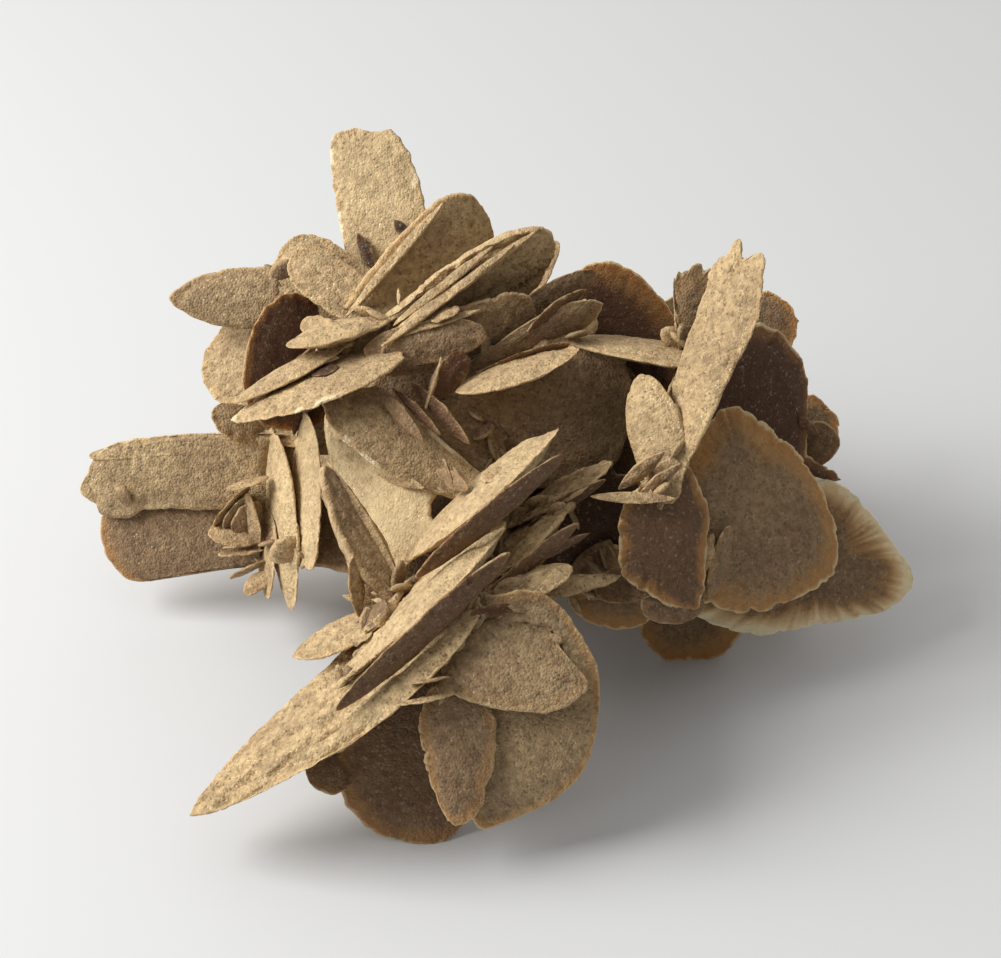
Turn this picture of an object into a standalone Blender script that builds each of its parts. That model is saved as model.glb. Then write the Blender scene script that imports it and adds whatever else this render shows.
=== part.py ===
"""Gypsum sand rose: a rosette of lens-shaped gypsum crystals that grew through one another in sand.

Each crystal is one blade, a thin lens with its own outline, and one named object. The rose rests on
its lowest blades, whose tips are worn flat at the level z = 0, and the middle of that base is the
scene's origin. Units are metres in the scene and millimetres in the tables below; +Z is up and -Y
is the front.
"""

import math
from dataclasses import dataclass

import bmesh
import bpy
import numpy as np
from mathutils import Matrix, Vector

MM = 0.001
RIM_POINTS = 18  # round the rim of a regular blade
STEPS_PER_CORNER = 3  # points of a smooth rim for each of its corners
INNER_RING = 0.62  # where the ring between the middle and the rim lies
SEAM = 0.3  # gap between blades that meet, mm
CREASE = 30  # degrees; a sharper edge stays a crease, and the rest is shaded smooth


@dataclass
class Blade:
    """One crystal. It grows from root to tip, and its face is turned about that line."""

    name: str
    root: tuple  # mm
    tip: tuple  # mm
    turn: float  # degrees of the face from level, about the line from root to tip
    left: float = 0.0  # reach to the left of the line, mm
    right: float = 0.0  # reach to the right of the line, mm
    thick: float = 3.0  # at the middle, mm
    belly: float = 0.6  # where the blade is widest, as a share of its length
    blunt: tuple = (2.0, 2.2)  # roundness of the root end and of the tip end: 2 is an ellipse
    edge: float = 0.8  # thickness left at the rim, mm
    outline: tuple = ()  # for an uneven blade: distances from the root, along and left of the line


# The first blades stay whole, and each one is cut where it meets a blade above it in the list.
LEFT_STRIPS = (
    Blade("left_strip_inner", (-36, -3, 21), (-40, 26, 35), -68, 5, 12, 2.6, blunt=(1.7, 2)),
    Blade("left_strip_middle", (-38, -4, 14), (-42, 20, 38), -70, 9, 5, 2.6, blunt=(1.8, 1.8)),
    Blade("left_strip_outer", (-44, 1, 12), (-46, 23, 24), -69, 5, 7, 2.4, blunt=(1.8, 1.8)),
)

HEART = (
    Blade("heart_blade_level", (-44, 12, 24), (38, 8, 26), 8, 19, 19, 9, 0.5),
    Blade("heart_blade_upright", (-28, 18, 38), (30, 18, 36), 72, 21, 17, 9, 0.5),
    Blade("heart_blade_cross", (0, -30, 28), (2, 44, 26), 88, 15, 14, 9, 0.5),
)

FRONT = (
    Blade("upper_spear", (-16, -27, 43), (11, -13, 62), -39, 26, 3, 6, blunt=(1.6, 1.5)),
    Blade("main_spear", (-29, -46, 30), (2, -28, 53), -39, 24, 3, 6, blunt=(1.6, 1.7)),
    Blade("long_spear", (-3, -33, 42), (-53, -53, 10), 6, 10, 11, 4.6, 0.45, (2, 1.45)),
    Blade(
        "front_small_petal", (1, -33, 39), (2, -48, 30), 2, thick=3, edge=1,
        outline=((13, -11), (16, -5), (18, 5), (16, 11), (13, 13), (7, 9), (-3, 2), (-1, -6), (7, -11)),
    ),
    Blade(
        "front_large_petal", (5, -32, 43), (3, -53, 10), -5, thick=4, edge=1.2,
        outline=((17, -12), (33, -10), (41, -7), (40, -2), (35, 7), (27, 12), (12, 12), (0, 2), (4, -10)),
    ),
    Blade(
        "front_middle_lobe", (-5, -41, 36), (-7, -56, 12), -6, thick=2.6,
        outline=((10, -8), (20, -6), (28, -2), (28, 2), (21, 5), (11, 5), (4, 1), (4, -5)),
    ),
    Blade(
        "front_left_petal", (-13, -33, 27), (-14, -49, 1), -9, thick=3.6,
        outline=((17, -15), (25, -13), (30, -7), (32, 2), (29, 7), (23, 10), (4, 9), (-12, 0), (5, -12)),
    ),
    Blade("stacked_spear", (-28, -34, 30), (-10, -24, 40), -38, 20, 2, 2.6, blunt=(1.8, 1.8)),
    Blade("shaded_spear", (-7, -28, 36), (14, -15, 48), -38, 20, 3, 4.4, blunt=(1.8, 1.5)),
    Blade("rear_spear", (2, -13, 41), (21, -5, 49), -35, 16, 3, 3, blunt=(1.8, 1.6)),
    Blade("brown_lens", (-5, -33, 39), (13, -25, 42), 0, 5, 3, 3, 0.55, (1.8, 1.7)),
    Blade("pointed_lens", (0, -28, 36), (22, -20, 35), -7, 5, 1, 3, 0.5, (1.8, 1.6)),
)

MIDDLE = (
    Blade(
        "hanging_plate", (-4, -5, 42), (-32, 4, 56), -28, thick=3.6, edge=1.4,
        outline=((25, 4), (14, 5), (2, 2), (-1, -2), (6, -5), (20, -8), (26, -8), (32, 0)),
    ),
    Blade("v_blade_right", (-16, -22, 33), (-37, -29, 27), 16, 9, 3, 3, blunt=(1.8, 1.5)),
    Blade("v_blade_left", (-29, -5, 50), (-16, -22, 33), -23, 1, 9, 3, edge=2, blunt=(1.6, 1.6)),
    Blade(
        "pale_plate", (-13, -7, 41), (-31, 4, 36), -46, thick=3, edge=1.2,
        outline=((27, -15), (22, -2), (16, 10), (10, 18), (5, 17), (-1, 4), (2, -7), (14, -12)),
    ),
    Blade("leaning_lens", (29, -13, 46), (24, 8, 59), -32, 4, 6, 2.6, 0.58, (1.8, 1.9)),
    Blade(
        "tall_strip_blade", (28, -7, 47), (43, 22, 78), -30, thick=3.4, edge=1.2,
        outline=(
            (41, 5), (31, 5), (17, 5), (13, 2), (6, 2), (0, 2), (-1, -2), (6, -6), (18, -8),
            (29, -10), (37, -9), (44, -6), (42, -2), (46, 1), (43, 3),
        ),
    ),
    Blade("shelf_lens", (14, 12, 62), (-8, 7, 56), 19, 7, 8, 3, 0.5, (1.8, 1.7)),
    Blade("shelf_lens_far", (11, 18, 59), (40, 13, 57), -24, 16, 4, 3.4),
    Blade(
        "centre_shield", (4, 6, 36), (12, 20, 59), 32, thick=4,
        outline=((2, 12), (-1, 0), (5, -12), (10, -16), (24, -14), (29, -5), (24, 10), (14, 20), (7, 19)),
    ),
    Blade(
        "centre_left_plate", (1, 3, 39), (-17, 8, 51), -37, thick=3,
        outline=((18, 2), (5, 3), (-1, 0), (5, -6), (14, -7), (22, -3)),
    ),
    Blade("shadow_disc", (18, 0, 44), (19, -8, 22), 1, 12, 13, 4),
)

RIGHT = (
    Blade(
        "middle_right_petal", (26.2, -15.4, 39.5), (38.2, -10.4, 38.5), 58, thick=3.4,
        outline=((5, 14), (-4, 8), (-6, -4), (3, -12), (8, -13), (10, -7), (12, 3), (11, 9), (8, 14)),
    ),
    Blade(
        "right_petal_inner", (32, -10, 38), (62, 0, 30), 60, thick=4.2,
        outline=((-3, 6), (-2, -6), (6, -13), (16, -15), (25, -12), (32, -8), (32, 0), (27, 10), (18, 18), (7, 22)),
    ),
    Blade(
        "right_petal_outer", (36, -5, 27), (78, 4, 16), 59, thick=3.6,
        outline=((16, 16), (-9, 9), (-10, -5), (10, -13), (24, -11), (37, -8), (43, -4), (44, 0), (38, 7), (27, 16)),
    ),
    Blade(
        "dark_right_blade", (43, 10, 37), (52, 25, 57), 52, thick=4,
        outline=(
            (22, 14), (10, 19), (-6, 16), (-9, -2), (1, -17), (5, -25), (7, -15), (20, -9),
            (26, -1), (26, 8),
        ),
    ),
    Blade("lower_right_petal", (33, 12, 28), (40, -2, -0.5), 20, 9, 12, 3, 0.68, (2, 2.2)),
    Blade("lower_middle_petal", (24, -7, 32), (19, -11, 16), -49, 8, 9, 3, 0.6),
    Blade("rear_rim_blade_top", (28, 20, 24), (54, 46, 51), 33, 7, 8, 3, 0.76, (2, 2.4)),
    Blade("rear_rim_blade_mid", (40, 10, 20), (62, 29, 38), 44, 6, 7, 3, 0.7, (2, 3)),
    Blade(
        "dome_blade", (21, 26, 38), (23, 39, 63), 22, thick=4,
        outline=((22, 11), (6, 12), (-8, 3), (-4, -10), (9, -15), (20, -10), (27, -2), (28, 6)),
    ),
    Blade("rear_cap_blade", (38, 19, 47), (36, 29, 69), 3, 5, 5, 3, 0.7, (2, 3)),
)

UPPER_LEFT = (
    Blade("sandy_shelf", (-17, 11, 62), (-48, 4, 52), 15, 9, 10, 3.5, 0.5, (2.2, 1.5)),
    Blade("sandy_shelf_upper", (-27, 15, 61), (-48, 6, 54), 18, 3, 6, 2.5, 0.5, (1.8, 1.5)),
    Blade("scalloped_blade", (-25, 13, 61), (6, 23, 66), 84, 3, 8, 3, 0.66, (1.6, 2.8)),
    Blade(
        "ridge_blade", (-27, 17, 59), (8, 32, 74), 95, thick=4.5, edge=1.6,
        outline=((10, -7), (24, -12), (36, -11), (42, -3), (39, 3), (26, 5), (12, 3), (0, 0)),
    ),
    Blade("ridged_rim_blade", (-20, 21, 63), (-39, 17, 60), 22, 9, 4, 4, blunt=(2, 2)),
    Blade("round_petal", (-12, 22, 53), (-39, 39, 65), -33, 5, 5, 3, 0.75, (2, 2.6)),
    Blade(
        "upper_fan_blade", (-29, 27, 57), (-6, 43, 74), 74, thick=4,
        outline=((3, -9), (18, -14), (27, -14), (33, -8), (34, 0), (28, 5), (8, 4), (-12, -2)),
    ),
    Blade(
        "tall_back_blade", (-24, 36, 53), (-26, 64, 77), -14, thick=3, edge=1.2,
        outline=(
            (19, 6), (-8, 2), (-20, 0), (-10, -6), (14, -11), (22, -11), (35, -7), (37, -1),
            (38, 3), (36, 7), (28, 7),
        ),
    ),
    Blade("shade_blade_upper", (-2, 22, 55), (18, 30, 66), 83, 5, 3, 2.6, 0.6, (1.8, 1.8)),
    Blade("shade_blade_lower", (-4, 15, 55), (19, 24, 63), 84, 5, 3, 2.6, 0.6, (1.8, 1.8)),
    Blade("round_petal_rear", (-17, 31, 52), (-42, 43, 63), -43, 7, 7, 3, 0.7, (2, 2.6)),
    Blade("left_wing_blade", (-20, 36, 57), (-63, 39, 55), -61, 6, 6, 3, 0.66, (2.6, 1.6)),
    Blade("left_under_wing", (-44, 40, 50), (-55, 31, 37), -14, 16, 8, 2.5, 0.55, (3, 2.4)),
    Blade("dark_crescent", (-29, 31, 41), (-47, 23, 55), -58, 13, 13, 2.5),
)

LEFT_PLATES = (
    Blade(
        "left_plate_upper", (-39, 18, 29), (-81, 20, 24), -66, thick=3.2, edge=2,
        outline=((30, 5), (12, 6), (-8, 5), (-8, -6), (12, -9), (30, -9), (37, -7), (40, -3), (42, 1), (36, 5)),
    ),
    Blade(
        "left_plate_lower", (-46, 15, 16), (-76, 16, 14), -58, thick=2.8,
        outline=((29, -7), (31, 0), (28, 6), (23, 8), (8, 6), (-10, 4), (-10, -4), (10, -8)),
    ),
)

BACK = (
    Blade("back_foot_blade", (-6, 20, 26), (-14, 52, -2), -12, 14, 15, 4, 0.6, (2, 2.6)),
    Blade("back_fan_left", (-8, 20, 31), (-36, 51, 44), 40, 13, 14, 4, 0.6, (2, 2.5)),
    Blade("back_fan_right", (14, 25, 30), (34, 53, 38), -48, 15, 13, 4, 0.55, (2, 2.4)),
    Blade("back_low_left", (-16, 20, 26), (-43, 46, 9), -66, 12, 14, 4, 0.55, (2, 2.6)),
    Blade("back_low_right", (18, 18, 22), (46, 40, 6), 58, 13, 13, 4, 0.55, (2, 2.4)),
)

GROUPS = (LEFT_STRIPS, HEART, FRONT, MIDDLE, RIGHT, UPPER_LEFT, LEFT_PLATES, BACK)

SANDY_TAN = (0.42, 0.29, 0.16, 1.0)
AMBER_BROWN = (0.36, 0.21, 0.10, 1.0)
# Blades with little sand in their rims, which show the amber gypsum.
AMBER_BLADES = (
    "dome_blade", "dark_right_blade", "middle_right_petal", "right_petal_inner",
    "right_petal_outer", "lower_right_petal", "lower_middle_petal", "front_large_petal",
    "front_left_petal", "rear_rim_blade_top", "rear_rim_blade_mid", "left_plate_lower",
)


def unit(vector):
    return vector / np.linalg.norm(vector)


def place_of(blade):
    """The blade's place: X along it, Y across its face to the left, Z out of its face."""
    along = unit(np.subtract(blade.tip, blade.root).astype(float))
    level = unit(np.array([0.0, 0.0, 1.0]) - along[2] * along)
    across = np.cross(along, level)
    turn = math.radians(blade.turn)
    normal = level * math.cos(turn) + across * math.sin(turn)
    place = Matrix(np.array([along, np.cross(normal, along), normal]).T.tolist()).to_4x4()
    place.translation = Vector(blade.root) * MM
    return place


def oval(blade):
    """The middle and the rim of a regular blade, in its own plane.

    The rim is a superellipse whose power differs between the root end and the tip end, and whose
    widest place is nearer one end.
    """
    length = np.linalg.norm(np.subtract(blade.tip, blade.root))
    angle = np.arange(RIM_POINTS) * 2 * math.pi / RIM_POINTS
    cos, sin = np.cos(angle), np.sin(angle)
    power = np.where(cos >= 0, blade.blunt[1], blade.blunt[0])
    reach = np.where(cos >= 0, length * (1 - blade.belly), length * blade.belly)
    x = np.sign(cos) * np.abs(cos) ** (2 / power) * reach
    y = np.sign(sin) * np.abs(sin) ** (2 / power) * (blade.left + blade.right) / 2
    middle = np.array([length * blade.belly, (blade.left - blade.right) / 2])
    return middle, np.stack([x, y], axis=1)


def closed_curve(corners):
    """The middle and the rim of an uneven blade: a smooth closed curve through its corners."""
    p1 = np.array(corners, float)
    p0, p2, p3 = np.roll(p1, 1, axis=0), np.roll(p1, -1, axis=0), np.roll(p1, -2, axis=0)
    steps = []
    for t in np.arange(STEPS_PER_CORNER) / STEPS_PER_CORNER:
        straight = 2 * p1 + (p2 - p0) * t
        bend = (2 * p0 - 5 * p1 + 4 * p2 - p3) * t**2 + (3 * p1 - p0 - 3 * p2 + p3) * t**3
        steps.append((straight + bend) / 2)
    rim = np.stack(steps, axis=1).reshape(-1, 2)
    middle = rim.mean(axis=0)
    return middle, rim - middle


def lens(blade, grow):
    """Points and faces of the lens, grown by this many mm on every side.

    The thickness falls from the middle to the rim as (1 - r^2)^0.75, where r runs from 0 to 1.
    """
    middle, rim = closed_curve(blade.outline) if blade.outline else oval(blade)
    rim = rim * (1 + grow / np.linalg.norm(rim, axis=1, keepdims=True))
    count = len(rim)
    edge = blade.edge / 2 + grow
    bulge = (blade.thick - blade.edge) / 2
    rings = (
        (0, edge + bulge),
        (INNER_RING, edge + bulge * (1 - INNER_RING**2) ** 0.75),
        (1, edge),
    )
    points = []
    for r, height in rings:
        spots = middle + r * rim if r else middle[None]
        for side in (height, -height):
            points += [(x * MM, y * MM, side * MM) for x, y in spots]
    faces = []
    ring_top, ring_low, rim_top, rim_low = (2 + k * count for k in range(4))
    for i in range(count):
        j = (i + 1) % count
        faces.append((0, ring_top + i, ring_top + j))
        faces.append((1, ring_low + j, ring_low + i))
        faces.append((ring_top + i, rim_top + i, rim_top + j, ring_top + j))
        faces.append((ring_low + j, rim_low + j, rim_low + i, ring_low + i))
        faces.append((rim_top + i, rim_low + i, rim_low + j, rim_top + j))
    return points, faces


def add_object(name, points, faces, place=None):
    mesh = bpy.data.meshes.new(name)
    mesh.from_pydata(points, [], faces)
    made = bpy.data.objects.new(name, mesh)
    bpy.context.scene.collection.objects.link(made)
    if place:
        made.matrix_world = place
    return made


def corners_of(obj):
    """The low and high corners of the box round an object, along the scene's axes."""
    bpy.context.view_layer.update()
    points = np.array([obj.matrix_world @ vertex.co for vertex in obj.data.vertices])
    return points.min(axis=0), points.max(axis=0)


def near(first, second):
    """Whether the boxes round two objects meet."""
    low, high = corners_of(first)
    other_low, other_high = corners_of(second)
    return bool((low <= other_high).all() and (other_low <= high).all())


def keep_largest(mesh):
    """Leaves the largest connected piece of the mesh."""
    shape = bmesh.new()
    shape.from_mesh(mesh)
    shape.verts.ensure_lookup_table()
    pieces = []
    left = set(shape.verts)
    while left:
        start = left.pop()
        piece = [start]
        waiting = [start]
        while waiting:
            for link in waiting.pop().link_edges:
                for vertex in link.verts:
                    if vertex in left:
                        left.remove(vertex)
                        piece.append(vertex)
                        waiting.append(vertex)
        area = sum({face: face.calc_area() for v in piece for face in v.link_faces}.values())
        pieces.append((area, piece))
    pieces.sort(key=lambda item: -item[0])
    for area, piece in pieces[1:]:
        bmesh.ops.delete(shape, geom=piece, context="VERTS")
    shape.to_mesh(mesh)
    shape.free()


def cut(target, cutters):
    """Takes the cutters away from the target and keeps its largest piece."""
    for cutter in cutters:
        if not near(target, cutter):
            continue
        modifier = target.modifiers.new("seam", "BOOLEAN")
        modifier.operation = "DIFFERENCE"
        modifier.solver = "EXACT"
        modifier.object = cutter
        graph = bpy.context.evaluated_depsgraph_get()
        result = bpy.data.meshes.new_from_object(target.evaluated_get(graph))
        target.modifiers.remove(modifier)
        old = target.data
        target.data = result
        bpy.data.meshes.remove(old)
        keep_largest(target.data)


def floor_block():
    """A block whose top is the resting level, z = 0."""
    corners = [(x, y, z) for x in (-0.2, 0.2) for y in (-0.2, 0.2) for z in (-0.05, 0)]
    faces = [(0, 1, 3, 2), (4, 6, 7, 5), (0, 4, 5, 1), (2, 3, 7, 6), (0, 2, 6, 4), (1, 5, 7, 3)]
    return add_object("resting_level", corners, faces)


def gypsum(name, colour):
    made = bpy.data.materials.new(name)
    made.use_nodes = True
    shader = made.node_tree.nodes["Principled BSDF"]
    shader.inputs["Base Color"].default_value = colour
    shader.inputs["Roughness"].default_value = 0.75
    made.diffuse_color = colour
    return made


def centre_on_base(solids):
    """Hangs the blades on one empty, which puts the middle of their base at the origin."""
    lows, highs = zip(*(corners_of(solid) for solid in solids))
    middle = (np.min(lows, axis=0) + np.max(highs, axis=0)) / 2
    rose = bpy.data.objects.new("sand_rose", None)
    bpy.context.scene.collection.objects.link(rose)
    for solid in solids:
        solid.parent = rose
    rose.location = (-middle[0], -middle[1], 0)


def main():
    for obj in list(bpy.data.objects):
        bpy.data.objects.remove(obj)
    solids, cutters = [], [floor_block()]
    for blade in [blade for group in GROUPS for blade in group]:
        place = place_of(blade)
        solid = add_object(blade.name, *lens(blade, 0), place)
        cut(solid, cutters)
        cutter = add_object(blade.name + "_seam", *lens(blade, SEAM), place)
        cut(cutter, solids)
        solids.append(solid)
        cutters.append(cutter)
        colour = AMBER_BROWN if blade.name in AMBER_BLADES else SANDY_TAN
        solid.data.shade_smooth()
        solid.data.set_sharp_from_angle(angle=math.radians(CREASE))
        solid.data.materials.clear()
        solid.data.materials.append(gypsum(blade.name + "_gypsum", colour))
    for cutter in cutters:
        bpy.data.objects.remove(cutter)
    centre_on_base(solids)


main()
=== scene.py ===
"""Gypsum sand rose: the surface, the small crystals and the finish of the blades.

Each blade of the frame becomes a fine sandy sheet of the same place, outline and thickness. Lengths
are in millimetres, except in the meshes, the material and the stage, which are in metres.
"""

import math
from dataclasses import dataclass, replace

import bpy
import numpy as np
from bpy.props import FloatProperty, FloatVectorProperty, PointerProperty, StringProperty
from bpy.types import Operator, Panel, PropertyGroup
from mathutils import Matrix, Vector


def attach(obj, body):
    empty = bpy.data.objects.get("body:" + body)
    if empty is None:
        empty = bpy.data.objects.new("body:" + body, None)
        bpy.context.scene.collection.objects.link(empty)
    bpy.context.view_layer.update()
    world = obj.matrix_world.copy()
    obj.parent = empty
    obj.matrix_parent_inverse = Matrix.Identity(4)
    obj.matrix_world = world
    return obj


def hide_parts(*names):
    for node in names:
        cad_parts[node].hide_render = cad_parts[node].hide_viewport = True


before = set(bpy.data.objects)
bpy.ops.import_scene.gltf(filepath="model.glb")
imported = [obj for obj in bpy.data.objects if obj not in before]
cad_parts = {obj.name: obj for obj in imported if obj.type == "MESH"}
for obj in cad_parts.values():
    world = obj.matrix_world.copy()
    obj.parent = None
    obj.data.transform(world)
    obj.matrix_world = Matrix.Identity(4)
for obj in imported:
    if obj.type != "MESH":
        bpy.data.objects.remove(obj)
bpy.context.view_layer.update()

bl_info = {
    "name": "Gypsum sand rose",
    "version": (1, 0, 0),
    "blender": (4, 5, 0),
    "location": "3D View > Sidebar > Sand rose",
    "description": "Builds a rosette of sandy gypsum blades round its frame",
    "category": "Add Mesh",
}

MM = 0.001
BODY = "root"
GYPSUM = "gypsum_with_dune_sand"
BAKE_MAP = "OFBake"  # the square map of each blade's two faces
TURNS = 512  # directions in which a blade's reach is measured
RINGS = 12  # rings on which a blade's thickness is measured
RING_TURNS = 96  # directions in which it is measured on each ring
LAST_RING = 0.97  # the outermost ring, as a share of the reach


# Repeatable noise -----------------------------------------------------------------------------


def hashed(cells, seed):
    """A value from 0 to 1 for each cell of three whole numbers: the numbers mixed bit by bit."""
    mixed = (cells * np.array([73856093, 19349663, 83492791])).sum(axis=-1) + seed * 2654435
    mixed = (mixed ^ (mixed >> 13)) * 1274126177 & 0xFFFFFFFF
    mixed = (mixed ^ (mixed >> 16)) * 668265263 & 0xFFFFFFFF
    return ((mixed >> 8) & 0xFFFF) / 0xFFFF


def noise(points, size, seed=0):
    """Smooth noise from 0 to 1 with bumps of this size: the values of the cell's eight corners,
    blended by t * t * (3 - 2 t) along each axis."""
    places = points / size
    low = np.floor(places).astype(np.int64)
    t = places - low
    t = t * t * (3 - 2 * t)
    total = 0
    for corner in np.ndindex(2, 2, 2):
        share = np.prod(np.where(corner, t, 1 - t), axis=-1)
        total = total + share * hashed(low + np.array(corner), seed)
    return total


def layered(points, size, seed=0, layers=3):
    """Noise with detail: each layer has half the size and half the height of the one before."""
    total = sum(noise(points, size / 2**k, seed + k) / 2**k for k in range(layers))
    return total / sum(1 / 2**k for k in range(layers))


def smooth_step(low, high, value):
    t = np.clip((value - low) / (high - low), 0, 1)
    return t * t * (3 - 2 * t)


# The blades of the frame ----------------------------------------------------------------------


@dataclass
class Sheet:
    """One blade as a flat outline with a thickness, in its own plane."""

    middle: np.ndarray  # where the plane's own origin is
    axes: np.ndarray  # rows: along the blade, across it, out of its face
    half: np.ndarray  # half extents along and across
    reach: np.ndarray  # how far the rim is in each direction, as a share of the half extents
    top: np.ndarray  # height of the upper face on each ring and in each direction
    low: np.ndarray  # height of the lower face
    joined: np.ndarray = None  # 1 where the rim runs into another blade


def directions(count):
    """Evenly spaced directions round a circle, in radians."""
    return np.arange(count) * 2 * math.pi / count


def around(values, turn):
    """Values given for evenly spaced directions, read at any direction in radians."""
    place = (turn / (2 * math.pi)) % 1 * values.shape[-1]
    index = np.floor(place).astype(int) % values.shape[-1]
    t = place - np.floor(place)
    return values[..., index] * (1 - t) + values[..., (index + 1) % values.shape[-1]] * t


def on_rings(values, share, turn):
    """Values given on rings, from the middle to the rim, read at any ring share and direction."""
    place = np.clip(share, 0, 1) * (values.shape[0] - 1)
    ring = np.minimum(np.floor(place).astype(int), values.shape[0] - 2)
    t = place - ring
    columns = values.shape[1]
    spot = (turn / (2 * math.pi)) % 1 * columns
    column = np.floor(spot).astype(int) % columns
    s = spot - np.floor(spot)
    beside = (column + 1) % columns
    inner = values[ring, column] * (1 - s) + values[ring, beside] * s
    outer = values[ring + 1, column] * (1 - s) + values[ring + 1, beside] * s
    return inner * (1 - t) + outer * t


def corners_of(node):
    """The triangles of a frame node as an array of corners, in mm."""
    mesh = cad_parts[node].data
    mesh.calc_loop_triangles()
    points = np.empty(len(mesh.vertices) * 3, np.float32)
    mesh.vertices.foreach_get("co", points)
    index = np.empty(len(mesh.loop_triangles) * 3, np.int32)
    mesh.loop_triangles.foreach_get("vertices", index)
    return (points.reshape(-1, 3).astype(float) / MM)[index.reshape(-1, 3)]


def heights(faces, spots):
    """The height of these triangles over each spot of the plane, or nan beside them."""
    a, b, c = faces[:, 0], faces[:, 1], faces[:, 2]
    across = (b - a)[:, 0] * (c - a)[:, 1] - (b - a)[:, 1] * (c - a)[:, 0]
    kept = np.abs(across) > 1e-9
    a, b, c, across = a[kept], b[kept], c[kept], across[kept]
    from_a = spots[:, None, :] - a[None, :, :2]
    to_c = (c - a)[:, :2]
    to_b = (b - a)[:, :2]
    u = (from_a[..., 0] * to_c[:, 1] - from_a[..., 1] * to_c[:, 0]) / across
    v = (to_b[:, 0] * from_a[..., 1] - to_b[:, 1] * from_a[..., 0]) / across
    height = a[:, 2] + u * (b - a)[:, 2] + v * (c - a)[:, 2]
    inside = (u > -1e-3) & (v > -1e-3) & (u + v < 1 + 1e-3)
    return np.where(inside, height, np.nan)


def covered(faces, half, cells=64):
    """Whether the blade covers each spot of a grid over its extents, with gaps of a cell closed."""
    steps = (np.arange(cells) + 0.5) / cells * 2 - 1
    spots = np.stack(np.meshgrid(steps, steps, indexing="ij"), axis=-1) * half
    found = ~np.isnan(heights(faces, spots.reshape(-1, 2))).all(axis=1).reshape(cells, cells)
    wider = np.pad(found, 2)
    for axis in (0, 1):
        wider = wider | np.roll(wider, 1, axis) | np.roll(wider, -1, axis)
    for axis in (0, 1):
        wider = wider & np.roll(wider, 1, axis) & np.roll(wider, -1, axis)
    return wider[2:-2, 2:-2] | found


def first_gap(mask, starts, turns):
    """How far a ray runs from each start before it leaves the mask, as a share of the extents."""
    far = np.linspace(0, 2.2, 111)
    way = np.stack([np.cos(turns), np.sin(turns)], axis=1)
    spots = starts[:, None, None] + far[None, None, :, None] * way[None, :, None]
    cells = np.floor((spots + 1) / 2 * len(mask)).astype(int)
    inside = ((cells >= 0) & (cells < len(mask))).all(axis=-1)
    cells = np.clip(cells, 0, len(mask) - 1)
    inside &= mask[cells[..., 0], cells[..., 1]]
    inside[..., -1] = False
    return far[inside.argmin(axis=-1)]


def best_middle(mask):
    """The spot that sees most of the blade: the sum of the squares of its free reach is largest."""
    steps = np.linspace(-0.75, 0.75, 9)
    starts = np.stack(np.meshgrid(steps, steps, indexing="ij"), axis=-1).reshape(-1, 2)
    seen = (first_gap(mask, starts, directions(32)) ** 2).sum(axis=1)
    return starts[seen.argmax()]


def rim_reach(faces, half, mask, middle):
    """The blade's rim in each direction: of all crossings of the triangles' sides, the one nearest
    to where the ray first leaves the blade."""
    start = (faces[:, :, :2] / half).reshape(-1, 2)
    side = (np.roll(faces, -1, axis=1)[:, :, :2] / half).reshape(-1, 2) - start
    turn = directions(TURNS)
    way = np.stack([np.cos(turn), np.sin(turn)], axis=1)[:, None]
    across = way[..., 0] * side[:, 1] - way[..., 1] * side[:, 0]
    across = np.where(np.abs(across) < 1e-9, 1e-9, across)
    far = (start[:, 0] * side[:, 1] - start[:, 1] * side[:, 0]) / across
    share = (start[:, 0] * way[..., 1] - start[:, 1] * way[..., 0]) / across
    rough = first_gap(mask, middle[None], turn)[0]
    crossing = (share >= -1e-6) & (share <= 1 + 1e-6) & (far > 0)
    miss = np.where(crossing, np.abs(far - rough[:, None]), 9)
    nearest = miss.argmin(axis=1)
    exact = far[np.arange(TURNS), nearest]
    return np.where(miss.min(axis=1) < 0.06, exact, rough)


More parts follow.
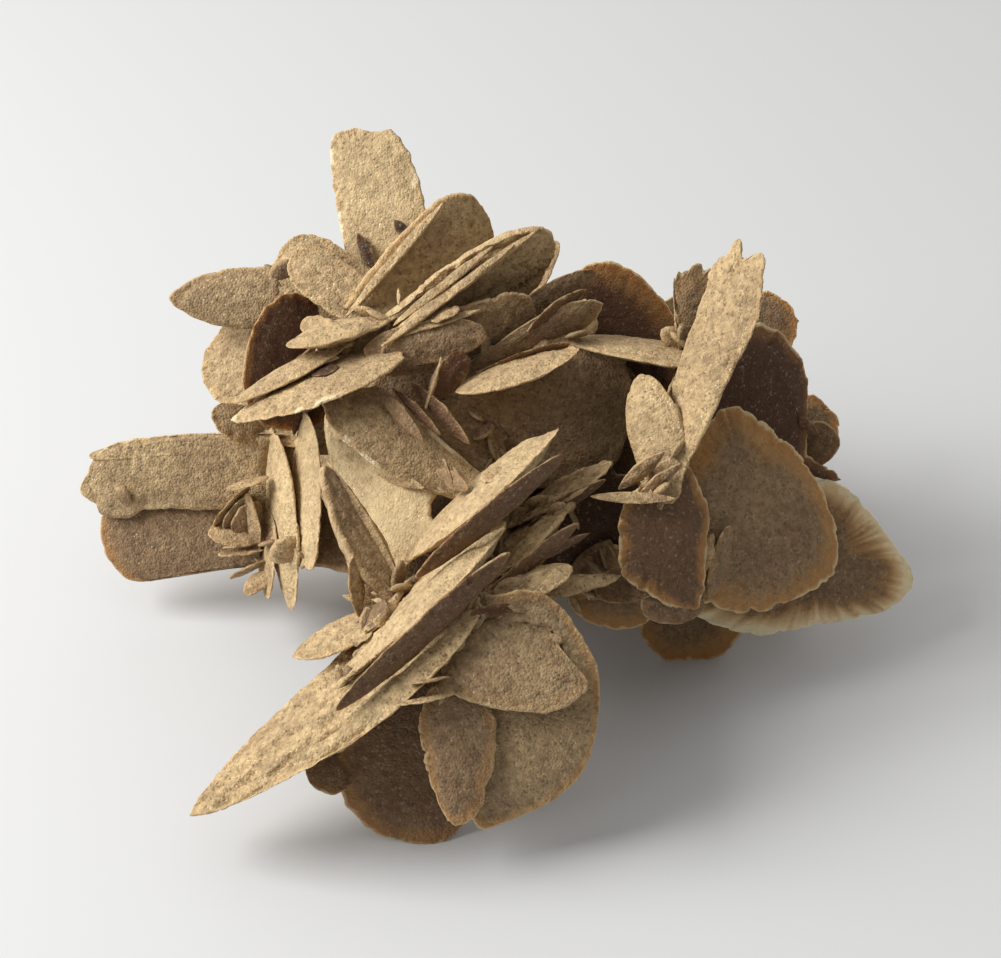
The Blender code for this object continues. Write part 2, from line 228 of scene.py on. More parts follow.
def measured(node):
    """Reads a blade's plane, outline and thickness from its mesh.

    The face's direction is the strongest axis of the faces' normals, weighted by area. The length
    runs along the strongest axis of the outline. A height is the median of seven neighbouring
    directions, and a spot with no face takes the height of the ring beside it.
    """
    corners = corners_of(node)
    normals = np.cross(corners[:, 1] - corners[:, 0], corners[:, 2] - corners[:, 0])
    area = np.linalg.norm(normals, axis=1) + 1e-12
    out = np.linalg.eigh((normals / area[:, None]).T @ normals)[1][:, -1]
    out = out * (1 if out[2] >= 0 else -1)
    facing = normals @ out
    shadow = np.abs(facing)
    centres = corners.mean(axis=1)
    middle = (centres * shadow[:, None]).sum(axis=0) / shadow.sum()
    spread = (centres - middle) - ((centres - middle) @ out)[:, None] * out
    along = np.linalg.eigh((spread * shadow[:, None]).T @ spread)[1][:, -1]
    axes = np.array([along, np.cross(out, along), out])
    local = (corners - middle) @ axes.T
    half = np.abs(local[:, :, :2]).max(axis=(0, 1))
    mask = covered(local, half)
    start = best_middle(mask)
    shift = np.append(start * half, 0)
    middle = middle + shift @ axes
    local = local - shift
    reach = np.maximum(rim_reach(local, half, mask, start), 0.02)
    turn = directions(RING_TURNS)
    ring = np.linspace(0, LAST_RING, RINGS)[:, None]
    spots = ring[..., None] * around(reach, turn)[None, :, None]
    spots = spots * np.stack([np.cos(turn), np.sin(turn)], axis=1)[None] * half
    fields = []
    for side in (1, -1):
        found = heights(local[side * facing > 0], spots.reshape(-1, 2)) * side
        found = np.where(np.isnan(found), -99, found).max(axis=1).reshape(RINGS, -1)
        for ring_from, ring_to in [*zip(range(RINGS), range(1, RINGS)),
                                   *zip(range(RINGS - 1, 0, -1), range(RINGS - 2, -1, -1))]:
            found[ring_to] = np.where(found[ring_to] < -90, found[ring_from], found[ring_to])
        found = np.where(found < -90, np.median(found[found > -90]), found)
        beside = np.stack([np.roll(found, k, axis=1) for k in range(-3, 4)])
        fields.append(side * np.median(beside, axis=0))
    return Sheet(middle, axes, half, reach, fields[0], fields[1])


def rim_places(sheet, turn, reach):
    """Points at this reach from the middle of the sheet, in its plane."""
    flat = np.stack([np.cos(turn), np.sin(turn)], axis=-1) * sheet.half * reach[..., None]
    return sheet.middle + flat @ sheet.axes[:2]


def find_joins(sheets):
    """Marks where each rim ends at another blade: the rim's point lies in that blade, or within
    the seam beside it. The outline is evened out there, so that its steps don't fold the surface."""
    turn = directions(TURNS)
    for name, sheet in sheets.items():
        points = rim_places(sheet, turn, sheet.reach)
        touching = np.zeros(TURNS, bool)
        for other_name, other in sheets.items():
            if other_name == name:
                continue
            local = (points - other.middle) @ other.axes.T
            flat = local[:, :2] / other.half
            way = np.arctan2(flat[:, 1], flat[:, 0])
            share = np.linalg.norm(flat, axis=1) / around(other.reach, way)
            high = on_rings(other.top, share, way) + 0.75
            low = on_rings(other.low, share, way) - 0.75
            touching |= (share < 1.03) & (local[:, 2] < high) & (local[:, 2] > low)
        spread = np.convolve(np.tile(touching.astype(float), 3), np.ones(7) / 7, "same")
        sheet.joined = np.clip(spread[TURNS : 2 * TURNS] * 1.4, 0, 1)
        even = np.convolve(np.tile(sheet.reach, 3), np.ones(11) / 11, "same")
        sheet.reach = sheet.reach + sheet.joined * (even[TURNS : 2 * TURNS] - sheet.reach)


@dataclass
class Crystal:
    """A small blade that the frame has no node for. It grows from root to tip."""

    name: str
    root: tuple
    tip: tuple
    turn: float  # degrees of its face from level, about the line from root to tip
    wide: float
    thick: float = 1.0
    # The darkness of the gypsum; it also paints shade, and above 1 mixes to the near-black of
    # painted shade.
    tone: float = 0.2
    power: float = 1.8  # roundness of the outline: 2 is an ellipse
    pale: float = 0.12


def crystal_axes(root, tip, turn):
    """Rows: along each crystal, across it, and out of its face. The inputs may be whole arrays."""
    along = tip - root
    along = along / np.linalg.norm(along, axis=-1, keepdims=True)
    level = np.array([0, 0, 1]) - along[..., 2:] * along
    level = level / np.linalg.norm(level, axis=-1, keepdims=True)
    turn = np.expand_dims(turn, -1)
    out = level * np.cos(turn) + np.cross(along, level) * np.sin(turn)
    return np.stack([along, np.cross(out, along), out], axis=-2)


def crystal_sheet(crystal):
    """A crystal as a sheet: its outline is |x|^p + |y|^p = 1, and its thickness (1 - r^2)^0.75."""
    root, tip = np.array(crystal.root, float), np.array(crystal.tip, float)
    axes = crystal_axes(root, tip, np.array(math.radians(crystal.turn)))
    half = np.array([np.linalg.norm(tip - root), crystal.wide]) / 2
    turn = directions(TURNS)
    power = crystal.power
    reach = (np.abs(np.cos(turn)) ** power + np.abs(np.sin(turn)) ** power) ** (-1 / power)
    ring = np.linspace(0, LAST_RING, RINGS)[:, None]
    top = 0.25 + crystal.thick / 2 * (1 - ring**2) ** 0.75 + np.zeros(RING_TURNS)
    return Sheet((root + tip) / 2, axes, half, reach, top, -top, np.zeros(TURNS))


# The surface of a blade -----------------------------------------------------------------------


@dataclass
class Skin:
    """How a blade's surface and rim differ from a plain lens."""

    grain: float = 0.17  # height of the sand grains
    sway: float = 0.2  # how far the whole sheet waves out of its plane
    ragged: float = 0.5  # depth of the small breaks in the rim
    lobes: float = 0.35  # depth of the notches between the lobes of the rim
    lobe_size: float = 5.0
    comb: float = 0.1  # height of the ribs that run out to the rim
    ledges: float = 0.1  # height of the growth steps on the faces
    ledge_size: float = 9.0
    grooves: float = 0.0  # depth of the cracks along the blade
    pits: float = 0.2  # depth of the pits that lost grains leave
    glow: float = 0.2  # how amber the rim is
    amber: float = 1.2  # width of the amber band inside the rim
    pale: float = 0.2  # width of the whitish rim
    white: float = 0.45  # how white that rim is
    painted_light: float = 0.0  # how whitish the whole face is painted: painted light, as if more light fell on it
    chips: float = 0.0  # how much of the rim is broken to white gypsum
    tone: float = 0.0  # 0 is full of pale sand, 1 is dark brown gypsum; values are also set to paint shade on blades in shade, and from 1 to 2 it mixes in painted shade, near black
    rim: float = 0.35  # how far in the rounding of the rim reaches
    thin: float = 0.5  # share of the frame's thickness that is left at the rim
    close: float = 0.46  # distance between neighbouring points of the surface
    seed: int = 0


def streaks(sheet, edge, turn, size, seed):
    """Noise that changes round the rim in steps of this size, and only slowly towards the middle:
    its place runs on a circle as wide as the blade."""
    radius = sheet.half.mean() / size
    place = np.stack([np.cos(turn) * radius, np.sin(turn) * radius, edge / 9], axis=-1)
    return noise(place, 1.0, seed)


def square_grid(counts):
    """A grid over a square, mapped to a disc: its squares' rings become circles.

    The ring is the larger of |a| and |b|. The rings lie closer together towards the rim, at
    1.25 r - 0.25 r^3.
    """
    a = np.linspace(-1, 1, counts[0])[:, None] + np.zeros(counts[1])
    b = np.zeros(counts[0])[:, None] + np.linspace(-1, 1, counts[1])
    wide = np.abs(a) >= np.abs(b)
    safe_a = np.where(np.abs(a) < 1e-9, 1e-9, a)
    safe_b = np.where(np.abs(b) < 1e-9, 1e-9, b)
    turn = np.where(
        wide,
        np.where(a < 0, math.pi, 0) + math.pi / 4 * b / safe_a,
        np.where(b < 0, 1.5, 0.5) * math.pi - math.pi / 4 * a / safe_b,
    )
    ring = np.where(wide, np.abs(a), np.abs(b))
    return a, b, 1.25 * ring - 0.25 * ring**3, turn


def rim_shift(sheet, skin, turn):
    """How far the rim moves out in each direction: into the neighbour where the blade is joined,
    and in and out by lobes and breaks where it is free."""
    plain = around(sheet.reach, turn)
    points = rim_places(sheet, turn, plain)
    joined = around(sheet.joined, turn)
    valley = np.abs(2 * noise(points, skin.lobe_size, skin.seed + 3) - 1)
    fine_valley = np.abs(2 * noise(points, skin.lobe_size / 2.6, skin.seed + 4) - 1)
    shift = -skin.lobes * np.exp(-7 * valley) - 0.5 * skin.lobes * np.exp(-6 * fine_valley)
    shift = shift + skin.ragged * (layered(points, 2.2, skin.seed + 5) - 0.55) * 1.6
    shift = shift + 0.3 * skin.lobes
    return joined * 1.4 + (1 - joined) * shift


def relief(sheet, points, local, edge, turn, skin, side):
    """Height of the surface over the plain lens.

    It is the sum of slow swells, growth steps, ribs near the rim, cracks along the blade, pits and
    sand grains. A growth step is noise cut into levels with short slopes between them.
    """
    seed = skin.seed + 20 * (side > 0)
    level = noise(points, skin.ledge_size, seed + 31) * 4 + 0.8 * noise(points, 1.8, seed + 32)
    step = np.floor(level) + smooth_step(0.88, 1.0, level - np.floor(level))
    height = skin.ledges * (step - 2.4)
    ribs = streaks(sheet, edge, turn, 1.6, seed + 33)
    height = height + skin.comb * (ribs - 0.5) * 2 * smooth_step(9, 1, edge)
    if skin.grooves:
        stretched = np.stack([local[..., 0] / 11, local[..., 1] / 0.9, local[..., 2] * 0], axis=-1)
        crack = smooth_step(0.66, 0.78, noise(stretched, 1.0, seed + 34))
        height = height - skin.grooves * crack * smooth_step(0.4, 1.5, edge)
    pits = smooth_step(0.76, 0.86, noise(points, 1.25, seed + 35))
    height = height - skin.pits * pits
    grain = 0.5 * noise(points, 1.0, seed + 36) + 0.5 * noise(points, 0.62, seed + 37) - 0.5
    return height + skin.grain * 2 * grain


def sheet_surface(sheet, skin):
    """Both faces of a blade as two grids that share their border, with colour values.

    A point is middle + ring * reach(direction) in the plane, raised by the lens's height. Near the
    rim the height falls as a quarter circle, so that the two faces meet in a round edge.
    """
    counts = np.maximum(np.ceil(2 * sheet.half / skin.close).astype(int), 9)
    a, b, ring, turn = square_grid(counts)
    plain = around(sheet.reach, turn)
    way = np.stack([np.cos(turn), np.sin(turn)], axis=-1) * sheet.half
    length = np.linalg.norm(way, axis=-1)
    shift = rim_shift(sheet, skin, turn)
    outer = plain + shift / length
    flat = way * (ring * outer)[..., None]
    edge = (1 - ring) * outer * length
    joined = around(sheet.joined, turn)
    open_edge = edge + joined * 6
    share = np.clip(ring * outer / plain, 0, 1)
    top = on_rings(sheet.top, share, turn)
    low = on_rings(sheet.low, share, turn)
    sway_at = sheet.middle + flat @ sheet.axes[:2]
    sway = skin.sway * 2 * (noise(sway_at, 15, skin.seed + 11) - 0.5)
    sway = sway + skin.sway * 0.7 * (noise(sway_at, 6, skin.seed + 12) - 0.5)
    round_off = np.sqrt(np.clip(1 - (1 - np.clip(edge / skin.rim, 0, 1)) ** 2, 0, 1))
    sharpen = skin.thin + (1 - skin.thin) * smooth_step(0, 5, open_edge)
    sides = []
    for side, face in ((1, top), (-1, low)):
        middle_height = (top + low) / 2
        height = middle_height + (face - middle_height) * round_off * sharpen
        local = np.concatenate([flat, height[..., None]], axis=-1)
        points = sheet.middle + local @ sheet.axes
        bumps = relief(sheet, points, local, open_edge, turn, skin, side) * round_off
        local[..., 2] += sway + side * bumps
        sides.append(sheet.middle + local @ sheet.axes)
    flush = 1.3 * streaks(sheet, edge, turn, 0.9, skin.seed + 13) - 0.65
    flush = flush + 1.4 * noise(sway_at, 6, skin.seed + 14) - 0.7
    amber_edge = open_edge + skin.amber * 0.7 * flush
    pale_edge = open_edge + (0.3 + skin.pale * 0.6) * flush
    chips = smooth_step(0.62, 0.68, noise(sway_at, 2.6, skin.seed + 15))
    chips = skin.chips * chips * smooth_step(2.0, 1.2, open_edge + flush)
    white = skin.white * smooth_step(skin.pale * 1.8, skin.pale * 0.3, pale_edge)
    # The pale value is the whitish rim, the white chips or the whole-face whitening, which is
    # painted light; the tone is the darkness of the gypsum and also paints shade.
    looks = {
        "amber": skin.glow * smooth_step(skin.amber * 1.6, skin.amber * 0.2, amber_edge),
        "pale": np.maximum(np.maximum(white, chips), skin.painted_light),
        "tone": np.full(a.shape, skin.tone),
    }
    return a, b, sides, looks


def quads_of(index):
    return np.stack(
        [index[:-1, :-1], index[1:, :-1], index[1:, 1:], index[:-1, 1:]], axis=-1
    ).reshape(-1, 4)


def mesh_object(name, points, faces, maps=None, values=()):
    """A smooth mesh from whole arrays of points and quads, at the origin."""
    mesh = bpy.data.meshes.new(name)
    mesh.from_pydata(points * MM, [], faces)
    for key, numbers in values:
        mesh.attributes.new(key, "FLOAT", "POINT").data.foreach_set("value", numbers)
    if maps is not None:
        mesh.uv_layers.new(name=BAKE_MAP).data.foreach_set("uv", maps.ravel())
    mesh.polygons.foreach_set("use_smooth", np.ones(len(mesh.polygons), bool))
    mesh.update()
    made = bpy.data.objects.new(name, mesh)
    bpy.context.scene.collection.objects.link(made)
    return made


def blade_mesh(name, sheet, skin):
    """Joins the two faces of a blade along their border into one closed mesh."""
    a, b, (upper, lower), looks = sheet_surface(sheet, skin)
    shape = a.shape
    top_index = np.arange(a.size).reshape(shape)
    low_index = top_index.copy()
    inner = (slice(1, -1), slice(1, -1))
    low_index[inner] = a.size + np.arange(top_index[inner].size).reshape(top_index[inner].shape)
    points = np.concatenate([upper.reshape(-1, 3), lower[inner].reshape(-1, 3)])
    faces = np.concatenate([quads_of(top_index), quads_of(low_index)[:, ::-1]])
    spot = np.stack([(a + 1) / 4 * 0.98 + 0.005, (b + 1) / 2 * 0.98 + 0.01], axis=-1)
    loops = spot.reshape(-1, 2)[quads_of(top_index)]
    back = loops[:, ::-1] + np.array([0.5, 0])
    values = [
        (key, np.concatenate([numbers.ravel(), numbers[inner].ravel()]).astype(np.float32))
        for key, numbers in looks.items()
    ]
    maps = np.concatenate([loops, back]).astype(np.float32)
    return mesh_object(name, points, faces, maps, values)


SHEETS = {name: measured(name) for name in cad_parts}
find_joins(SHEETS)


# Which blades there are, and how they differ ----------------------------------------------------

SANDY = Skin()
STRIP = Skin(lobes=0.1, ledges=0.06, sway=0.1, pale=0.4)
SPEAR = Skin(ledges=0.22, ledge_size=12, grooves=0.9, lobes=0.15, ragged=0.6, sway=0.15)
FRONT = Skin(glow=0.5, amber=1.8, pale=0.3, lobes=0.3, comb=0.1, ledges=0.05, tone=0.4)
PETAL = Skin(
    glow=0.85, amber=3.6, pale=0.35, white=0.8, lobes=0.45, lobe_size=4.5, comb=0.22,
    ledges=0.05, sway=0.3, tone=0.65,
)
HIDDEN = Skin(close=0.9, tone=0.6)
SMALL = Skin(close=0.36, lobes=0.1, ragged=0.5, ledges=0.08, sway=0.15, rim=0.25)

GROUPS = {
    "left_strips": (STRIP, (
        "left_strip_inner", "left_strip_middle", "left_strip_outer")),
    "heart_blades": (HIDDEN, (
        "heart_blade_level", "heart_blade_upright", "heart_blade_cross")),
    "spears": (SPEAR, (
        "upper_spear", "main_spear", "long_spear", "stacked_spear", "shaded_spear",
        "rear_spear", "brown_lens", "pointed_lens")),
    "front_petals": (FRONT, (
        "front_small_petal", "front_large_petal", "front_middle_lobe", "front_left_petal")),
    "middle_blades": (SANDY, (
        "hanging_plate", "v_blade_right", "v_blade_left", "pale_plate", "leaning_lens",
        "tall_strip_blade", "shelf_lens", "shelf_lens_far", "centre_shield",
        "centre_left_plate", "shadow_disc")),
    "right_petals": (PETAL, (
        "middle_right_petal", "right_petal_inner", "right_petal_outer", "dark_right_blade",
        "lower_right_petal", "lower_middle_petal", "rear_rim_blade_top",
        "rear_rim_blade_mid", "dome_blade", "rear_cap_blade")),
    "upper_left_blades": (SANDY, (
        "sandy_shelf", "sandy_shelf_upper", "scalloped_blade", "ridge_blade",
        "ridged_rim_blade", "round_petal", "upper_fan_blade", "tall_back_blade",
        "shade_blade_upper", "shade_blade_lower", "round_petal_rear", "left_wing_blade",
        "left_under_wing", "dark_crescent")),
    "left_plates": (SANDY, ("left_plate_upper", "left_plate_lower")),
    "back_blades": (replace(SANDY, glow=0.4, amber=2.5, tone=0.3, lobes=0.6), (
        "back_foot_blade", "back_fan_left", "back_fan_right", "back_low_left",
        "back_low_right")),
}

# Blades that differ from their group. Their tones are partly set to how bright each blade looks: a
# high tone on a blade in shade is painted shade, and a whitened face is painted light.
SPECIAL = {
    # The broad amber band and whitish rim of the outer petal are partly the clearer gypsum of its
    # rim and partly a painted glow of light shining through its thin edge.
    "right_petal_outer": {
        "glow": 1.0, "amber": 5.5, "pale": 3.0, "white": 1.0, "comb": 0.45, "tone": 0.7},
    "right_petal_inner": {"amber": 4.2, "pale": 0.45, "comb": 0.45, "lobes": 0.8, "tone": 0.6},
    "middle_right_petal": {"amber": 2.0, "pale": 0.4, "lobes": 0.8, "tone": 0.9, "comb": 0.4},
    # Painted shade: the dark right blade and the dome are darker than brown gypsum, towards the
    # near-black of a hollow, because they lie in shade.
    "dark_right_blade": {"tone": 1.15, "ragged": 1.1, "glow": 0.4, "amber": 2.0},
    "dome_blade": {"tone": 1.1, "lobes": 0.25},
    "rear_cap_blade": {"tone": 0.6, "glow": 0.2, "ragged": 1.8, "lobes": 1.4, "ledges": 0.3},
    "front_left_petal": {"tone": 0.8, "amber": 2.5},
    "front_middle_lobe": {"tone": 0.6, "lobes": 0.7, "lobe_size": 3.5},
    "front_large_petal": {"tone": 0.35},
    "front_small_petal": {"tone": 0.4, "glow": 0.2},
    "ridge_blade": {"grooves": 1.0, "ledges": 0.35, "thin": 0.9},
    "scalloped_blade": {"lobes": 1.0, "tone": 0.45, "thin": 0.9},
    "ridged_rim_blade": {"comb": 0.35, "grooves": 0.4},
    # Painted light: the whole-face whitening on the tall back blade, the pale plate, the left
    # strips, the two upper spears and the upper fan brightens them as if more light fell on them.
    "tall_back_blade": {"painted_light": 0.2, "ragged": 0.7, "lobes": 0.15, "chips": 1.0, "sway": 0.1},
    "tall_strip_blade": {"ragged": 1.2, "chips": 0.3, "grooves": 0.3},
    "pale_plate": {"ledges": 0.35, "chips": 0.5, "painted_light": 0.5},
    "left_strip_inner": {"painted_light": 0.25},
    "left_strip_middle": {"painted_light": 0.2},
    "main_spear": {"painted_light": 0.15},
    "upper_spear": {"painted_light": 0.15},
    "centre_shield": {"tone": 0.5},
    "centre_left_plate": {"tone": 0.5},
    "shadow_disc": {"tone": 1.5},
    "hanging_plate": {"tone": 0.25, "pale": 0.5, "chips": 1.0, "ragged": 0.8},
    "upper_fan_blade": {"tone": 0.05, "painted_light": 0.05, "thin": 0.9, "glow": 0.4},
    "v_blade_left": {"tone": 0.45, "thin": 0.9, "grooves": 0.4},
    "dark_crescent": {"tone": 1.0, "glow": 0.6},
    "shade_blade_upper": {"tone": 0.6},
    "shade_blade_lower": {"tone": 0.6},
    "left_wing_blade": {"tone": 0.3},
    "left_plate_upper": {"tone": 0.15, "ledges": 0.03, "sway": 0.1, "chips": 0.6},
    "left_plate_lower": {"tone": 0.6, "ledges": 0.03, "glow": 0.5, "amber": 2.0},
    "left_under_wing": {"tone": 0.15},
    "sandy_shelf": {"ragged": 1.0, "chips": 0.9},
}

# Small crystals. Each row holds the values of a Crystal, in their order.
SPEAR_CRYSTALS = (
    # Painted shade: the three layers under the spears are dark slivers that stand for the shade
    # under each spear.
    ("shade_layer_under_main_spear", (-26, -53, 31), (3, -37, 52), 95, 7, 1.6, 0.85, 1.8),
    ("shade_layer_under_upper_spear", (-13, -34, 44), (12, -22, 61), 95, 6, 1.6, 0.85, 1.8),
    ("shade_layer_under_shaded_spear", (-3, -34, 37), (15, -23, 47), 95, 5, 1.2, 0.85, 1.8),
    ("layer_behind_main_spear", (-24, -43, 31), (-4, -29, 45), -38, 6, 1.4, 0.1, 1.5),
    ("round_crystal_on_upper_spear", (-2, -20, 54), (2, -18, 55), -8, 4, 1.2, 0.1, 2.2),
    ("thin_edge_below_spears", (-17, -54, 33), (-6, -51, 33), -30, 4, 0.6, 0.2, 1.5),
    ("thin_edge_behind_spears", (-14, -51, 35), (-7, -49, 35), -40, 4, 0.6, 0.4, 1.5),
    ("brown_chip_below_lens", (-4, -41, 42), (5, -38, 41), 85, 3, 0.8, 1.0, 1.5),
    ("chip_left_of_spears", (-23, -32, 33), (-24, -26, 43), 40, 4, 1.0, 0.4, 1.7),
    ("small_front_left_petal", (-24, -46, 12), (-32, -52, 15), -40, 9, 1.4, 0.7, 2.0),
    ("sliver_right_of_spears", (4, -27, 40), (17, -22, 44), 100, 3, 0.9, 0.9, 1.5),
    ("sliver_below_rear_spear", (6, -18, 42), (20, -12, 48), 95, 4, 1.0, 0.9, 1.5),
)

MIDDLE_CRYSTALS = (
    ("claw_at_lens", (22, -14, 47), (30, -12, 54), 75, 3.4, 1.0, 0.3, 1.4),
    ("lower_claw", (25, -17, 47), (33, -14, 53), 80, 3.0, 1.0, 0.4, 1.4),
    ("thin_shelf_right", (17, -17, 48), (32, -19, 49), 30, 2.4, 0.6, 0.1, 1.5),
    ("small_dark_petal", (-10, 3, 55), (-5, 8, 61), 60, 6, 1.2, 1.0, 2.0),
    ("needle_lens", (-12, 0, 54), (-9, 7, 61), -60, 2.6, 0.8, 0.4, 1.4),
    ("small_lens_by_spear", (-10, -11, 49), (-4, -19, 51), 70, 3.5, 1.0, 0.5, 1.5),
    ("lens_in_hollow", (-9, -9, 50), (-7, -16, 50), 95, 3.5, 0.9, 0.7, 1.5),
    ("flake_on_pale_plate", (-21, -4, 43), (-12, -12, 46), 80, 2.5, 0.8, 0.3, 1.5),
    ("blade_behind_spear", (0, -14, 44), (6, -8, 52), 110, 9, 1.2, 0.9),
    ("slit_blade_left", (-21, 2, 58), (-12, -8, 53), 60, 3, 0.9, 0.6, 1.4),
    ("slit_blade_middle", (-18, 3, 57), (-9, -6, 53), 85, 3, 0.9, 0.9, 1.4),
    ("slit_blade_right", (-15, 5, 57), (-4, -6, 51), 75, 4, 0.9, 0.9, 1.4),
    ("lit_edge_of_left_wedge", (-29, -11, 51), (-15, -28, 34), 70, 4, 1.2, 0.0, 1.5, 0.4),
)

TOP_CRYSTALS = (
    ("lit_edge_of_fan", (-27, 21, 60), (-9, 35, 76), -20, 3, 1.6, 0.0, 1.7, 0.4),
    ("lowest_ridge", (-20, 7, 63), (4, 22, 75), -17, 3, 1.4, 0.0, 1.6),
    ("middle_ridge", (-18, 10, 64), (8, 25, 76), -19, 3, 1.4, 0.1, 1.6),
    ("upper_ridge", (-18, 12, 64), (0, 21, 75), -11, 3, 1.4, 0.1, 1.6),
    ("low_scalloped_blade", (-23, 8, 61), (-1, 10, 64), 60, 8, 1.6, 0.6, 2.0),
    ("edge_of_scallops", (-20, 9, 63), (-2, 13, 67), -10, 3, 1.0, 0.0, 1.6),
    ("round_crystal_on_scallops", (-11, 11, 66), (-6, 12, 68), -6, 4, 1.0, 0.0, 2.2),
    # Painted shade: the two slit pieces are thin, near-black lenses that stand for the shade in
    # slits.
    ("shade_in_slit_long", (-25.9, 42.2, 65), (-22.1, 35.4, 60.1), 32, 2.8, 0.5, 1.9, 1.5),
    ("shade_in_slit_short", (-18.8, 43, 67.2), (-15.8, 40, 64.8), 40, 2.2, 0.5, 1.9, 1.6),
    ("white_needle", (-17, 14, 67), (-17, 15, 70), -48, 0.9, 0.5, 0.0, 1.6, 2.0),
    ("lit_petal_upper_left", (-28, 10, 63), (-35, 18, 61), -45, 5, 1.2, 0.1, 2.0),
    ("blade_in_shade", (6, 13, 62), (17, 21, 66), 100, 5, 1.2, 0.9, 1.6),
    ("blade_under_shelf_lens", (-4, 8, 55), (14, 11, 61), 110, 6, 1.2, 0.9, 1.6),
    # Painted shade: a thin near-black lens that stands for the shade in the shelf's pit.
    ("shade_in_shelf_pit", (-32.2, 6.8, 58.2), (-28, 3.8, 60), 3, 4.6, 0.3, 1.6, 2.2),
    ("splinter_at_shelf", (-24, 5, 60), (-10, 8, 58), 70, 4, 1.0, 0.7, 1.5),
    ("crescent_inner_edge", (-30, 26, 52), (-42, 18, 44), -100, 6, 1.0, 0.8, 1.7),
)

LEFT_CRYSTALS = (
    ("rosette_roof", (-42, 9, 32), (-50, 8, 30), 20, 5, 0.9, 0.2, 2.0),
    ("rosette_crescent_outer", (-46, 10, 29), (-53, 8, 21), 50, 6, 0.7, 0.4, 1.9),
    ("rosette_crescent_middle", (-45, 9, 28), (-51, 7, 21), 75, 5, 0.7, 0.5, 1.9),
    ("rosette_crescent_inner", (-44, 8, 27), (-49, 6, 21), 100, 5, 0.7, 0.6, 1.9),
    ("rosette_petal_left", (-43, 7, 20), (-54, 6, 21), -8, 7, 0.9, 0.1, 2.1),
    ("rosette_petal_middle", (-43, 5, 18), (-52, 3, 18), 25, 6, 0.9, 0.3, 2.0),
    ("rosette_petal_lower", (-42, 3, 17), (-50, 2, 13), 45, 6, 0.9, 0.4, 2.0),
    ("rosette_petal_low", (-42, 0, 16), (-47, -2, 13), -20, 4, 0.8, 0.1, 2.1),
    ("rosette_upright", (-45, 4, 16), (-46, 8, 29), -62, 5, 0.7, 0.3, 1.7),
    ("far_left_petal", (-42, 18, 35), (-53, 17, 41), -30, 8, 1.4, 0.3, 2.0),
    ("thick_top_edge", (-40, 17, 36), (-77, 18, 30), -18, 4, 1.0, 0.0, 2.6),
)

RIGHT_CRYSTALS = (
    ("small_lens_on_petal", (39, -20, 27), (42, -14, 39), 62, 5, 1.0, 0.6, 1.8),
    ("strip_on_petal", (37, -19, 31), (39, -16, 39), 20, 2.4, 0.8, 0.4, 1.6),
    ("rim_under_right_petal", (26, -24, 30), (38, -20, 27), 58, 9, 1.4, 0.7, 2.2),
    ("rim_of_lower_petal", (18, -20, 30), (29, -22, 32), 30, 7, 1.2, 0.7, 2.1),
    ("crystal_at_right_rim", (57, 13, 43), (61, 15, 36), 95, 3, 1.0, 0.9, 1.6),
    ("small_rear_rim", (57, 14, 32), (64, 15, 39), 57, 8, 1.2, 0.6, 2.2),
)

BACK_CRYSTALS = (
    ("back_blade_upper_left", (-16, 22, 46), (-42, 38, 46), 30, 17, 3.0, 0.2, 2.0),
    ("back_blade_upper", (-4, 24, 48), (-4, 50, 56), 50, 18, 3.0, 0.2, 2.1),
    ("back_blade_upper_right", (10, 24, 48), (24, 48, 52), -35, 17, 3.0, 0.3, 2.1),
    ("back_blade_right", (20, 18, 34), (50, 34, 32), -62, 18, 3.0, 0.4, 2.1),
    ("back_blade_far_right", (24, 14, 26), (54, 26, 20), 15, 16, 2.6, 0.4, 2.2),
    ("back_blade_middle", (2, 22, 34), (10, 52, 34), 78, 20, 3.0, 0.2, 2.1),
    ("back_blade_middle_left", (-6, 20, 36), (-20, 48, 30), 58, 18, 3.0, 0.2, 2.1),
    ("back_blade_low", (4, 18, 24), (16, 46, 14), -70, 16, 2.6, 0.3, 2.2),
    ("back_blade_low_left", (-14, 14, 20), (-34, 30, 8), 30, 16, 2.6, 0.3, 2.1),
    ("back_blade_left", (-20, 14, 34), (-50, 28, 34), 10, 16, 2.6, 0.2, 2.0),
    ("back_spear_left", (-10, 20, 42), (-34, 48, 54), 80, 9, 2.4, 0.1, 1.6),
    ("back_spear_right", (12, 20, 40), (38, 44, 50), 85, 9, 2.4, 0.1, 1.6),
    ("back_spear_low", (-2, 18, 22), (2, 50, 20), 20, 9, 2.2, 0.2, 1.6),
    ("back_lens_high", (0, 26, 52), (12, 44, 62), -20, 9, 2.0, 0.1, 1.8),
    ("back_lens_left", (-22, 22, 40), (-38, 44, 38), -40, 11, 2.0, 0.3, 2.0),
    ("back_lens_right", (28, 24, 36), (44, 42, 40), 25, 11, 2.0, 0.4, 2.0),
    ("right_lens_low", (34, 6, 24), (58, 16, 16), 55, 12, 2.2, 0.5, 2.1),
    ("left_lens_low", (-34, 4, 20), (-54, 14, 10), 35, 11, 2.0, 0.3, 2.0),
    ("under_lens_front", (-2, -22, 26), (14, -32, 14), 30, 12, 2.2, 0.5, 2.1),
    ("under_lens_left", (-14, -14, 24), (-26, -24, 12), -20, 10, 2.0, 0.4, 2.0),
)

YOUNG_CRYSTALS = 300
YOUNG_RIM = 14  # points round the rim of a young crystal


# Materials ------------------------------------------------------------------------------------


def linear(code):
    """An sRGB hex colour as linear red, green, blue and a full alpha."""
    parts = [int(code[k : k + 2], 16) / 255 for k in (1, 3, 5)]
    return (*[c / 12.92 if c <= 0.04045 else ((c + 0.055) / 1.055) ** 2.4 for c in parts], 1.0)


